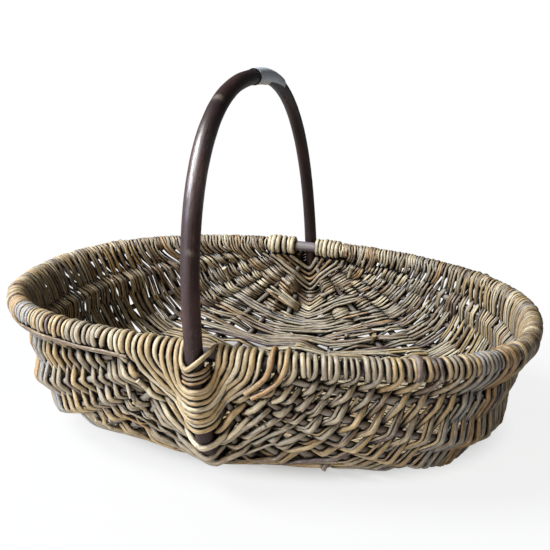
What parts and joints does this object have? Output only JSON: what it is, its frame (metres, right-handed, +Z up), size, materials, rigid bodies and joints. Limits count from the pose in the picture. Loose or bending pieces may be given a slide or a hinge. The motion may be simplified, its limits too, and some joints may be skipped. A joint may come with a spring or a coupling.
{
  "type": "willow rib basket",
  "caption": "Open oval willow basket with a fixed hoop handle, ribs bent from ear to ear and rods woven from rim to rim, for carrying fish or produce.",
  "frame": {"origin": "on the floor, under the middle of the basket", "axes": "+X along the rim's long axis, +Y from the front ear to the back ear across the basket, +Z up"},
  "size_m": [0.583, 0.4436, 0.3779],
  "materials": {
    "rim_bark": "bare grey-brown bark",
    "handle_bark": "satin dark purple-brown bark",
    "rib_willow": "dry grey-brown bark",
    "weaver_willow": "satin buff and brown willow",
    "label_paper": "plain coated paper"
  },
  "bodies": {
    "root": {"rim_hoop": "rim_bark", "handle_hoop": "handle_bark", "rib_left_1": "rib_willow", "rib_left_2": "rib_willow", "rib_left_3": "rib_willow", "rib_left_4": "rib_willow", "rib_left_5": "rib_willow", "rib_left_6": "rib_willow", "rib_left_7": "rib_willow", "rib_right_1": "rib_willow", "rib_right_2": "rib_willow", "rib_right_3": "rib_willow", "rib_right_4": "rib_willow", "rib_right_5": "rib_willow", "rib_right_6": "rib_willow", "rib_right_7": "rib_willow", "weaver_1": "weaver_willow", "weaver_2": "weaver_willow", "weaver_3": "weaver_willow", "weaver_4": "weaver_willow", "weaver_5": "weaver_willow", "weaver_6": "weaver_willow", "weaver_7": "weaver_willow", "weaver_8": "weaver_willow", "weaver_9": "weaver_willow", "weaver_10": "weaver_willow", "weaver_11": "weaver_willow", "weaver_12": "weaver_willow", "weaver_13": "weaver_willow", "weaver_14": "weaver_willow", "weaver_15": "weaver_willow", "weaver_16": "weaver_willow", "weaver_17": "weaver_willow", "weaver_18": "weaver_willow", "weaver_19": "weaver_willow", "paper_label": "label_paper"}
  },
  "joints": []
}
